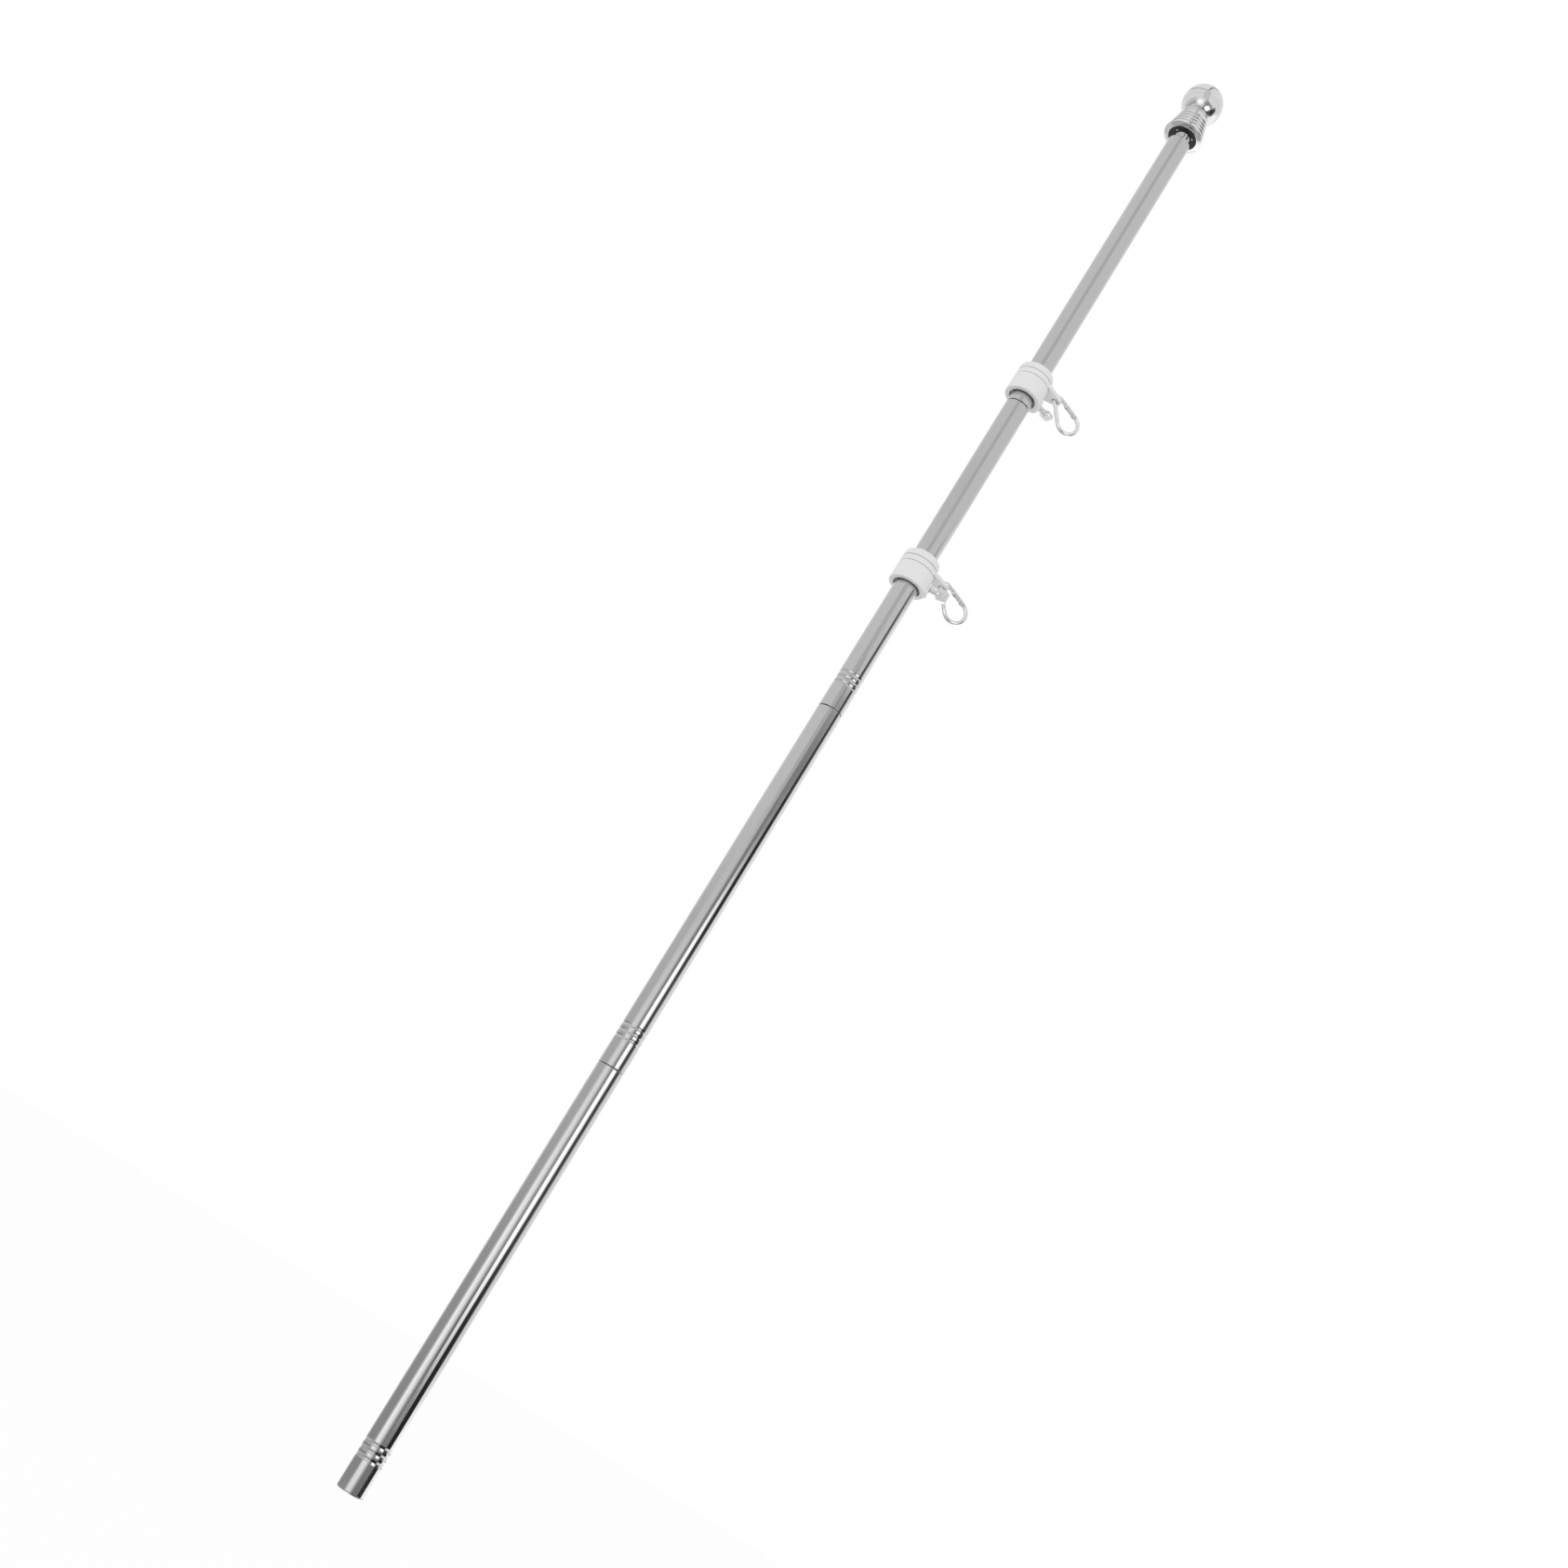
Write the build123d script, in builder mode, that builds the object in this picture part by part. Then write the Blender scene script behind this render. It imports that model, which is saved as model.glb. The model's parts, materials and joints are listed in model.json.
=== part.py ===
"""Sectional flagpole: four screwed tubes, a ball finial and two clamp-on flag rings with snap hooks.

The pole stands on Z with its foot at the origin. Millimetres throughout.
"""

import os
from math import asin, cos, degrees, radians, sin

from build123d import *

# ---------------------------------------------------------------- fits
RUNNING_FIT = 0.1  # a shaft that turns or slides in its hole
LOOSE_FIT = 0.3  # plastic rings that turn or slide on one another
SEAT_FIT = 0.05  # pieces that are pressed or crimped together

# ---------------------------------------------------------------- pole
tube_radius = 14.0
tube_wall = 0.8
section_length = 440.0
tube_edge_round = 0.35

groove_count = 3
groove_first = 31.5  # first crimp groove, above the lower end of a section
groove_pitch = 6.8
groove_width = 3.4
groove_depth = 0.8

insert_length = 54.0  # threaded bush crimped into the lower end of a section
insert_recess = 0.5
insert_wall = 3.9
stud_plug_length = 30.0
stud_shaft_length = 28.0
stud_chamfer = 1.5

# ---------------------------------------------------------------- finial
finial_gap = 10.0  # bare stud left showing under the finial
ball_radius = 25.4
ball_height = 59.0  # ball centre above the foot of the finial
ball_wall = 1.6
ball_mouth_radius = 13.0
foot_stand = 6.8  # from the socket to the outside of the foot
foot_band = 3.5
neck_steps = ((9.5, 4.8), (15.5, 3.4), (21.5, 2.0), (27.5, 0.7))  # height, stand from the socket
neck_bead = 0.7
neck_wall = 3.0
socket_stop = 3.0  # shoulder in the neck that the socket is pushed against
socket_wall = 8.95
socket_recess = 0.4
socket_blind = 3.0
socket_end_gap = 1.0  # past the stud's end
finial_edge_round = 1.0

# ---------------------------------------------------------------- flag ring
ring_wall = 7.6  # from the tube to the outside of the collar
collar_height = 22.8
collar_mouth_gap = 2.4  # countersink round the tube, seen from below
collar_mouth_depth = 5.0
sleeve_wall = 2.7
band_height = 7.3  # the swivel ring, seen between two joint lines
band_step = 0.2
cap_step = 0.3
cap_straight = 4.8
cap_height = 10.9
cap_lip_wall = 1.7
cap_lip = 2.2
edge_round = 0.7

ear_stand = 12.4  # ear hole, out from the collar
ear_tip_wall = 3.5
ear_thickness = 5.0
ear_round = 1.2
ear_azimuth = 11.0  # round the pole from +X

# ---------------------------------------------------------------- thumb screw
screw_height = 10.6  # above the foot of the collar
shank_radius = 3.0
shank_stand = 9.4  # bare shank, out from the collar
head_length = 14.5
head_half_width = 8.0
head_tip_half_width = 6.0
head_shoulder = 4.5
head_thickness = 3.4
head_corner = 2.0
rib_count = 4
rib_pitch = 3.0
rib_radius = 0.65
rib_inset = 1.0  # from the head's sides
boss_wall = 2.5
boss_height = 17.5
boss_stand = 1.8
boss_corner = 2.5

# ---------------------------------------------------------------- snap hook
hook_length = 51.0
hook_width = 31.0
wire_radius = 2.5
ear_room = 2.5  # inside radius of the hook's narrow end
ear_hole_gap = 1.5  # round the wire, in the ear's hole
hook_head_gap = 0.5  # between the hook's wire and the thumb screw's head
hook_pitch = -36.0  # long axis, down from the level
pivot_offset = 2.0  # pivot in the ear, from the small bend's centre
gate_proud = 0.5  # how much thicker the gate is than the wire
gate_pin_at = 10.0  # along the gate's side, from the small bend
gate_swing_gap = 0.4
gate_nose_gap = 0.6
tongue_thickness = 2.4
tongue_step = 0.3
nose_tongue_length = 3.5
slot_margin = 0.7
pin_radius = 1.0
pin_sink = 0.2  # rivet's ends below the gate's sides

# ---------------------------------------------------------------- where the rings are clamped
ring_heights = {"lower": 1051.9, "upper": 1332.3}
screw_sides = {"lower": -1, "upper": 1}  # which side of the hook each thumb screw stands
screw_turns = {"lower": 0.0, "upper": 90.0}  # how far each thumb screw happens to be turned

# ---------------------------------------------------------------- worked out
tube_bore = tube_radius - tube_wall
insert_radius = tube_bore - SEAT_FIT
stud_radius = insert_radius - insert_wall - RUNNING_FIT
pole_top = 4 * section_length

finial_foot = pole_top + finial_gap
socket_radius = stud_radius + RUNNING_FIT + socket_wall
foot_radius = socket_radius + foot_stand
neck_bore_radius = socket_radius - socket_stop
neck_radius = neck_bore_radius + neck_wall
socket_depth = stud_shaft_length - finial_gap + socket_end_gap
socket_length = socket_depth + socket_blind

ring_radius = tube_radius + ring_wall
collar_bore = tube_radius + LOOSE_FIT
collar_mouth_radius = tube_radius + collar_mouth_gap
sleeve_radius = collar_bore + sleeve_wall
band_radius = ring_radius - band_step
band_foot = collar_height + LOOSE_FIT
cap_radius = ring_radius - cap_step
cap_foot = band_foot + band_height + LOOSE_FIT
cap_top = cap_foot + cap_height
cap_lip_radius = collar_bore + cap_lip_wall
sleeve_top = cap_top - cap_lip - SEAT_FIT

shank_end = ring_radius + shank_stand  # where the shank meets the head, from the pole's axis
head_end = shank_end + head_length
boss_width = 2 * (shank_radius + boss_wall)
boss_reach = ring_radius + boss_stand

small_bend = ear_room + wire_radius  # wire's centre line round the ear
big_bend = hook_width / 2 - wire_radius
bend_spacing = hook_length - big_bend - small_bend - 2 * wire_radius
taper = degrees(asin((big_bend - small_bend) / bend_spacing))
gate_side = bend_spacing * cos(radians(taper))
gate_radius = wire_radius + gate_proud
tongue_half_height = wire_radius - tongue_step
slot_width = tongue_thickness + 2 * LOOSE_FIT
pin_length = 2 * (gate_radius - pin_sink)

ear_reach = ring_radius + ear_stand  # ear hole, from the pole's axis
ear_hole_radius = wire_radius + ear_hole_gap
ear_tip_radius = ear_hole_radius + ear_tip_wall
pivot_reach = ear_reach + ear_hole_radius + ear_tip_wall / 2
pivot_height = band_foot + band_height / 2
beside_head = head_half_width + wire_radius + hook_head_gap
screw_aside = degrees(asin(beside_head / (shank_end + head_shoulder)))


def axial_plane(height, azimuth=0.0):
    """Upright plane through the pole's axis: local x outward, local y up."""
    a = radians(azimuth)
    return Plane(origin=(0, 0, height), x_dir=(cos(a), sin(a), 0), z_dir=(sin(a), -cos(a), 0))


def level_plane(height, azimuth=0.0):
    """Level plane: local x outward at the azimuth, normal up."""
    a = radians(azimuth)
    return Plane(origin=(0, 0, height), x_dir=(cos(a), sin(a), 0), z_dir=(0, 0, 1))


def across(plane, distance):
    """Plane square to another plane's x, at a distance along it: local x is the other's y."""
    return Plane(
        origin=plane.from_local_coords(Vector(distance, 0, 0)), x_dir=plane.y_dir, z_dir=plane.x_dir
    )


def save(piece, name):
    piece.label = name
    export_step(piece, f"parts/{name}.step")


def grooved_side(radius, low, high, width, depth):
    """Upright line at a radius with the crimp grooves let into it, for a profile."""
    here = (radius, low)
    for n in range(groove_count):
        middle = groove_first + n * groove_pitch
        Line(here, (radius, middle - width / 2))
        ThreePointArc(
            (radius, middle - width / 2), (radius - depth, middle), (radius, middle + width / 2)
        )
        here = (radius, middle + width / 2)
    Line(here, (radius, high))


def make_tube(name, foot):
    """One section: a tube whose lower end is crimped by rolled grooves."""
    with BuildPart() as tube:
        with BuildSketch(axial_plane(foot)):
            with BuildLine():
                grooved_side(tube_radius, 0, section_length, groove_width, groove_depth)
                Line((tube_radius, section_length), (tube_bore, section_length))
                grooved_side(tube_bore, 0, section_length, groove_width, groove_depth)
                Line((tube_bore, 0), (tube_radius, 0))
            make_face()
        revolve(axis=Axis.Z)
        rims = tube.edges().filter_by(GeomType.CIRCLE).group_by(Axis.Z)
        outer_rims = [group.sort_by(SortBy.RADIUS)[-1] for group in (rims[0], rims[-1])]
        fillet(outer_rims, radius=min(tube_edge_round, 0.45 * tube_wall))
    save(tube.part, name)


def make_insert(name, foot, bore, recess):
    """Bush or plug held in the lower end of a section by the three grooves."""
    with BuildPart() as insert:
        with BuildSketch(axial_plane(foot)):
            with BuildLine():
                grooved_side(
                    insert_radius,
                    recess,
                    insert_length,
                    groove_width + 4 * SEAT_FIT,
                    groove_depth + SEAT_FIT,
                )
                Line((insert_radius, insert_length), (bore, insert_length))
                Line((bore, insert_length), (bore, recess))
                Line((bore, recess), (insert_radius, recess))
            make_face()
        revolve(axis=Axis.Z)
    save(insert.part, name)


def make_stud(name, seam):
    """Plug in the top of a section with the screwed shaft that stands out of it."""
    with BuildPart() as stud:
        with BuildSketch(Plane.XY.offset(seam - stud_plug_length)):
            Circle(insert_radius)
        extrude(amount=stud_plug_length)
        with BuildSketch(Plane.XY.offset(seam)):
            Circle(stud_radius)
        extrude(amount=stud_shaft_length)
        chamfer(stud.edges().filter_by(GeomType.CIRCLE).sort_by(Axis.Z)[-1], stud_chamfer)
    save(stud.part, name)


def make_finial():
    """Hollow plated ball on a ringed neck, with a black socket that screws on the top stud."""
    with BuildPart() as base:
        with BuildSketch(axial_plane(finial_foot)):
            with BuildLine():
                here = (foot_radius, foot_band)
                Line((foot_radius, 0), here)
                for height, stand in neck_steps:
                    radius = socket_radius + stand
                    Line(here, (radius + neck_bead, height - neck_bead))
                    ThreePointArc(
                        (radius + neck_bead, height - neck_bead),
                        (radius + 2 * neck_bead, height),
                        (radius, height + neck_bead),
                    )
                    here = (radius, height + neck_bead)
                Line(here, (neck_radius, ball_height - ball_radius))
                Line((neck_radius, ball_height - ball_radius), (neck_radius, ball_height))
                Line((neck_radius, ball_height), (neck_bore_radius, ball_height))
                Line((neck_bore_radius, ball_height), (neck_bore_radius, socket_length))
                Line((neck_bore_radius, socket_length), (socket_radius + SEAT_FIT, socket_length))
                Line((socket_radius + SEAT_FIT, socket_length), (socket_radius + SEAT_FIT, 0))
                Line((socket_radius + SEAT_FIT, 0), (foot_radius, 0))
            make_face()
        revolve(axis=Axis.Z)
        with Locations((0, 0, finial_foot + ball_height)):
            Sphere(ball_radius + SEAT_FIT, mode=Mode.SUBTRACT)
        rims = base.edges().filter_by(GeomType.CIRCLE).group_by(Axis.Z)
        fillet(rims[0].sort_by(SortBy.RADIUS)[-1], radius=finial_edge_round)
    save(base.part, "finial_base")

    with BuildPart() as ball:
        with Locations((0, 0, finial_foot + ball_height)):
            Sphere(ball_radius)
            Sphere(ball_radius - ball_wall, mode=Mode.SUBTRACT)
        with BuildSketch(Plane.XY.offset(finial_foot + ball_height - ball_radius)):
            Circle(ball_mouth_radius)
        extrude(amount=ball_radius, mode=Mode.SUBTRACT)
    save(ball.part, "finial_ball")

    with BuildPart() as socket:
        with BuildSketch(Plane.XY.offset(finial_foot + socket_recess)):
            Circle(socket_radius)
        extrude(amount=socket_length - socket_recess - SEAT_FIT)
        with BuildSketch(Plane.XY.offset(finial_foot)):
            Circle(stud_radius + RUNNING_FIT)
        extrude(amount=socket_depth, mode=Mode.SUBTRACT)
    save(socket.part, "finial_socket")


def make_collar(name, foot, azimuth):
    """Clamped part of a flag ring: a body with the screw's boss, and the sleeve that the rest turns on."""
    with BuildPart() as collar:
        with BuildSketch(Plane.XY.offset(foot)):
            Circle(ring_radius)
        extrude(amount=collar_height)
        rims = collar.edges().filter_by(GeomType.CIRCLE)
        fillet(rims, radius=edge_round)
        with BuildSketch(across(axial_plane(foot + boss_height / 2, azimuth), 0)):
            RectangleRounded(boss_height - 2 * edge_round, boss_width, boss_corner)
        extrude(amount=boss_reach)
        with BuildSketch(Plane.XY.offset(foot + collar_height / 2)):
            Circle(sleeve_radius)
        extrude(amount=sleeve_top - collar_height / 2)
        with BuildSketch(Plane.XY.offset(foot)):
            Circle(collar_bore)
        extrude(amount=sleeve_top, mode=Mode.SUBTRACT)
        with BuildSketch(Plane.XY.offset(foot)):
            Circle(collar_mouth_radius)
        extrude(amount=collar_mouth_depth, mode=Mode.SUBTRACT)
        with BuildSketch(across(axial_plane(foot + screw_height, azimuth), 0)):
            Circle(shank_radius + RUNNING_FIT)
        extrude(amount=boss_reach + 1, mode=Mode.SUBTRACT)
    save(collar.part, name)


def make_swivel(name, foot):
    """Ring that turns on the sleeve, with a flat tapering ear for the snap hook."""
    with BuildPart() as swivel:
        with BuildSketch(level_plane(foot + band_foot, ear_azimuth)):
            Circle(band_radius)
        extrude(amount=band_height)
        fillet(swivel.edges().filter_by(GeomType.CIRCLE), radius=edge_round)
        with BuildPart() as ear:
            with BuildSketch(level_plane(foot + pivot_height - ear_thickness / 2, ear_azimuth)):
                Circle(band_radius - edge_round)
                with Locations((ear_reach, 0)):
                    Circle(ear_tip_radius)
                make_hull()
                with Locations((ear_reach, 0)):
                    Circle(ear_hole_radius, mode=Mode.SUBTRACT)
            extrude(amount=ear_thickness)
            outlines = ear.edges().group_by(Axis.Z)
            fillet(outlines[0] + outlines[-1], radius=ear_round)
        with BuildSketch(level_plane(foot + band_foot, ear_azimuth)):
            Circle(sleeve_radius + LOOSE_FIT)
        extrude(amount=band_height, mode=Mode.SUBTRACT)
    save(swivel.part, name)


def make_cap(name, foot):
    """Domed cap that is pressed on the sleeve and keeps the swivel ring down."""
    with BuildPart() as cap:
        with BuildSketch(axial_plane(foot)):
            with BuildLine():
                Line((sleeve_radius + SEAT_FIT, cap_foot), (cap_radius, cap_foot))
                Line((cap_radius, cap_foot), (cap_radius, cap_foot + cap_straight))
                ThreePointArc(
                    (cap_radius, cap_foot + cap_straight),
                    (
                        cap_lip_radius + 0.74 * (cap_radius - cap_lip_radius),
                        cap_foot + cap_straight + 0.62 * (cap_height - cap_straight),
                    ),
                    (cap_lip_radius, cap_top),
                )
                Line((cap_lip_radius, cap_top), (collar_bore, cap_top))
                Line((collar_bore, cap_top), (collar_bore, cap_top - cap_lip))
                Line((collar_bore, cap_top - cap_lip), (sleeve_radius + SEAT_FIT, cap_top - cap_lip))
                Line((sleeve_radius + SEAT_FIT, cap_top - cap_lip), (sleeve_radius + SEAT_FIT, cap_foot))
            make_face()
        revolve(axis=Axis.Z)
    save(cap.part, name)


def make_thumb_screw(name, foot, azimuth, turn):
    """Screw with a flat ribbed head; the tip comes down on the pole."""
    upright = axial_plane(foot + screw_height, azimuth)
    t = radians(turn)
    face = Plane(
        origin=upright.origin,
        x_dir=upright.x_dir,
        z_dir=upright.z_dir * cos(t) + upright.y_dir * sin(t),
    )
    with BuildPart() as screw:
        with BuildSketch(across(face, collar_bore)):
            Circle(shank_radius)
        extrude(amount=shank_end + head_shoulder - collar_bore)
        with BuildSketch(face.offset(-head_thickness / 2)):
            with BuildLine():
                Polyline(
                    (shank_end, -shank_radius),
                    (shank_end + head_shoulder, -head_half_width),
                    (head_end, -head_tip_half_width),
                    (head_end, head_tip_half_width),
                    (shank_end + head_shoulder, head_half_width),
                    (shank_end, shank_radius),
                    close=True,
                )
            head = make_face()
            fillet(head.vertices().group_by(Axis.X)[-1], radius=head_corner)
        extrude(amount=head_thickness)
        rib_length = 2 * (head_tip_half_width - rib_inset)
        rib_plane = Plane(
            origin=face.from_local_coords(Vector(0, -rib_length / 2, 0)),
            x_dir=face.x_dir,
            z_dir=face.y_dir,
        )
        for n in range(rib_count):
            rib_at = head_end - head_corner - n * rib_pitch
            for side in (-1, 1):
                with BuildSketch(rib_plane):
                    with Locations((rib_at, side * head_thickness / 2)):
                        Circle(rib_radius)
                extrude(amount=rib_length)
    save(screw.part, name)


def hook_plane(foot):
    """The snap hook's own plane: origin at the small bend, x along the hook, y towards the gate."""
    a = radians(ear_azimuth)
    p = radians(hook_pitch)
    outward = Vector(cos(a), sin(a), 0)
    along = outward * cos(p) + Vector(0, 0, 1) * sin(p)
    pivot = outward * pivot_reach + Vector(0, 0, foot + pivot_height)
    return Plane(origin=pivot - along * pivot_offset, x_dir=along, z_dir=(sin(a), -cos(a), 0))


def gate_plane(foot):
    """The gate's own plane: origin where the gate's side leaves the small bend, x along that side."""
    hook = hook_plane(foot)
    t = radians(taper)
    start = hook.from_local_coords(Vector(-small_bend * sin(t), small_bend * cos(t), 0))
    ahead = hook.x_dir * cos(t) + hook.y_dir * sin(t)
    return Plane(origin=start, x_dir=ahead, z_dir=hook.z_dir)


def make_hook(name, foot):
    """Pear-shaped body of bent wire, with a flattened tongue at each side of the gate."""
    hook = hook_plane(foot)
    gate = gate_plane(foot)
    t = radians(taper)
    shoulder = gate_pin_at - gate_radius - gate_swing_gap
    with BuildPart() as body:
        with BuildLine(hook) as path:
            CenterArc((0, 0), small_bend, 90 + taper, 180 - 2 * taper)
            Line(
                (-small_bend * sin(t), -small_bend * cos(t)),
                (bend_spacing - big_bend * sin(t), -big_bend * cos(t)),
            )
            CenterArc((bend_spacing, 0), big_bend, -90 - taper, 180 + 2 * taper)
            Line(
                (-small_bend * sin(t), small_bend * cos(t)),
                (-small_bend * sin(t) + shoulder * cos(t), small_bend * cos(t) + shoulder * sin(t)),
            )
        start = gate.from_local_coords(Vector(shoulder, 0, 0))
        with BuildSketch(Plane(origin=start, z_dir=-gate.x_dir, x_dir=gate.z_dir)):
            Circle(wire_radius)
        sweep(path=path.wires()[0])
        with BuildSketch(gate.offset(-tongue_thickness / 2)):
            with Locations(((shoulder + gate_pin_at) / 2, 0)):
                Rectangle(gate_pin_at - shoulder + 2, 2 * tongue_half_height)
            with Locations((gate_pin_at, 0)):
                Circle(tongue_half_height)
            with Locations((gate_side - nose_tongue_length / 2 + 0.5, 0)):
                Rectangle(nose_tongue_length + 1, 2 * tongue_half_height)
        extrude(amount=tongue_thickness)
        with BuildSketch(gate.offset(-wire_radius)):
            with Locations((gate_pin_at, 0)):
                Circle(pin_radius + SEAT_FIT)
        extrude(amount=2 * wire_radius, mode=Mode.SUBTRACT)
    save(body.part, name)


def make_gate(name, foot):
    """Sprung gate: a round bar slotted at both ends, over the hinge tongue and over the nose."""
    gate = gate_plane(foot)
    end = gate_side - gate_nose_gap
    with BuildPart() as bar:
        with BuildSketch(across(gate, gate_pin_at)):
            Circle(gate_radius)
        extrude(amount=end - gate_pin_at)
        with Locations(gate.location * Pos(gate_pin_at, 0, 0)):
            Sphere(gate_radius)
        with BuildSketch(gate.offset(-slot_width / 2)):
            with Locations((gate_pin_at, 0)):
                Rectangle(2 * (gate_radius + slot_margin), 4 * gate_radius)
            with Locations((gate_side - (nose_tongue_length + slot_margin) / 2, 0)):
                Rectangle(nose_tongue_length + slot_margin, 4 * gate_radius)
        extrude(amount=slot_width, mode=Mode.SUBTRACT)
        with BuildSketch(gate.offset(-gate_radius)):
            with Locations((gate_pin_at, 0)):
                Circle(pin_radius + RUNNING_FIT)
        extrude(amount=2 * gate_radius, mode=Mode.SUBTRACT)
    save(bar.part, name)


def make_gate_pin(name, foot):
    """Rivet that the gate turns on."""
    with BuildPart() as pin:
        with BuildSketch(gate_plane(foot).offset(-pin_length / 2)):
            with Locations((gate_pin_at, 0)):
                Circle(pin_radius)
        extrude(amount=pin_length)
    save(pin.part, name)


def main():
    os.makedirs("parts", exist_ok=True)

    for number, section in enumerate(("bottom", "lower_middle", "upper_middle", "top")):
        section_foot = number * section_length
        make_tube(f"{section}_tube", section_foot)
        make_stud(f"{section}_stud", section_foot + section_length)
        if number == 0:
            make_insert("foot_plug", section_foot, 0.0, 0.0)
        else:
            make_insert(f"{section}_insert", section_foot, stud_radius + RUNNING_FIT, insert_recess)

    make_finial()

    for ring, height in ring_heights.items():
        screw_azimuth = ear_azimuth + screw_sides[ring] * screw_aside
        make_collar(f"{ring}_collar", height, screw_azimuth)
        make_swivel(f"{ring}_swivel_ring", height)
        make_cap(f"{ring}_cap", height)
        make_thumb_screw(f"{ring}_thumb_screw", height, screw_azimuth, screw_turns[ring])
        make_hook(f"{ring}_hook", height)
        make_gate(f"{ring}_hook_gate", height)
        make_gate_pin(f"{ring}_gate_pin", height)


if __name__ == "__main__":
    main()
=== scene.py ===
# %% [markdown]
# A sectional flagpole is four polished steel tubes screwed end to end, a chrome ball on top,
# and two white rings that hold snap hooks for the flag. The construction comes from the CAD
# frame, so this lesson gives each piece its finish, makes again in finer mesh the pieces whose
# curves catch the light, and sets up a small studio. The frame is loaded first, because every
# position below is read from it.

# %% Load the frame
import json
from math import acos, cos, degrees, pi, radians, sin, sqrt

import bmesh
import bpy
from mathutils import Matrix, Vector


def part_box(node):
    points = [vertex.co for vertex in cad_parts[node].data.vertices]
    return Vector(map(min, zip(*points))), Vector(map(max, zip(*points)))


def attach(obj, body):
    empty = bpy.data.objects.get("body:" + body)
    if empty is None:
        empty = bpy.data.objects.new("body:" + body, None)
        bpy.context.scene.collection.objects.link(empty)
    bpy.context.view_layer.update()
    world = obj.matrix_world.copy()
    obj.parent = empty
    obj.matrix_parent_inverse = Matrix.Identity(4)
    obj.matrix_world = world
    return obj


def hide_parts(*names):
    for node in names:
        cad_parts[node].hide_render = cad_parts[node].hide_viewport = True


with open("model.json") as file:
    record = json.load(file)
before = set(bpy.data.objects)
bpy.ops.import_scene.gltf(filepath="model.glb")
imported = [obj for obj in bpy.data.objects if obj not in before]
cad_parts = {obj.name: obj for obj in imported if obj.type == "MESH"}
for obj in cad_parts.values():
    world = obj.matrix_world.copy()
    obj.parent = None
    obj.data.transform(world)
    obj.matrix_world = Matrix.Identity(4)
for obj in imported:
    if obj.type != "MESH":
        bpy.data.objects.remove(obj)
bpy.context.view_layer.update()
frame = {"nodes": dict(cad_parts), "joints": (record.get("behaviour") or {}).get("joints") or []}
RINGS = ("lower", "upper")
SECTIONS = ("bottom", "lower_middle", "upper_middle", "top")
MM = 0.001
joints = {joint["name"]: joint for joint in frame["joints"]}

# %% [markdown]
# Every finish here is a node tree. A tree could be clicked together in the Shading workspace;
# in a script, a few short helpers do the same and keep each finish readable. The first starts
# a finish with its shader, and the second adds any other node.

# %% A new finish and its nodes
def new_finish(name, **settings):
    """A Principled finish; settings that are the same all over go straight on its sockets."""
    finish = bpy.data.materials.new(name)
    finish.use_nodes = True
    tree = finish.node_tree
    tree.nodes.clear()
    shader = tree.nodes.new("ShaderNodeBsdfPrincipled")
    output = tree.nodes.new("ShaderNodeOutputMaterial")
    tree.links.new(shader.outputs["BSDF"], output.inputs["Surface"])
    for socket, value in settings.items():
        shader.inputs[socket.replace("_", " ")].default_value = value
    return finish, tree, shader


def add_node(tree, kind, inputs=None, **properties):
    """A node with its properties set, and its inputs given as values or as other sockets."""
    node = tree.nodes.new(kind)
    for name, value in properties.items():
        setattr(node, name, value)
    for name, value in (inputs or {}).items():
        if isinstance(value, bpy.types.NodeSocket):
            tree.links.new(value, node.inputs[name])
        else:
            node.inputs[name].default_value = value
    return node


print("helpers ready: new_finish, add_node")

# %% [markdown]
# Uneven places on a real surface come from noise. It is read at the object's own coordinates,
# in metres, so a scratch stays on its tube when a ring slides or a hook swings. Stretching the
# coordinates turns round blobs into lines, which is how brushed and turned metal is made here.

# %% Noise in metres
def noise(tree, per_metre, detail=3.0, roughness=0.5):
    """Noise whose blobs repeat about so many times a metre along X, Y and Z."""
    place = add_node(tree, "ShaderNodeTexCoord").outputs["Object"]
    stretch = add_node(tree, "ShaderNodeMapping", {"Vector": place, "Scale": per_metre})
    made = add_node(tree, "ShaderNodeTexNoise", {
        "Vector": stretch.outputs["Vector"],
        "Scale": 1.0,
        "Detail": detail,
        "Roughness": roughness,
    })
    return made.outputs["Fac"]


print("helper ready: noise")

# %% [markdown]
# Noise mostly lies between 0.3 and 0.7, and no socket wants just that. The next helpers turn it
# into what a socket does want: a range of gloss, the sum of two causes, or a colour between two
# others. A Color Ramp could do the last, but two plain colours are easier to read in a script.

# %% Ranges, sums and mixed colours
def spread(tree, value, low, high, to_low, to_high):
    """Maps a value's range low to high onto another range."""
    made = add_node(tree, "ShaderNodeMapRange", {
        "Value": value,
        "From Min": low,
        "From Max": high,
        "To Min": to_low,
        "To Max": to_high,
    })
    return made.outputs["Result"]


def total(tree, value_a, value_b):
    """The sum of two values."""
    made = add_node(tree, "ShaderNodeMath", {0: value_a, 1: value_b}, operation="ADD")
    return made.outputs["Value"]


def between(tree, factor, colour_a, colour_b):
    """A colour between two others, each given as three numbers or as a socket."""
    made = add_node(tree, "ShaderNodeMix", {"Factor": factor}, data_type="RGBA")
    for socket, colour in ((made.inputs[6], colour_a), (made.inputs[7], colour_b)):
        if isinstance(colour, bpy.types.NodeSocket):
            tree.links.new(colour, socket)
        else:
            socket.default_value = (*colour, 1)
    return made.outputs[2]


print("helpers ready: spread, total, between")
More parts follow.
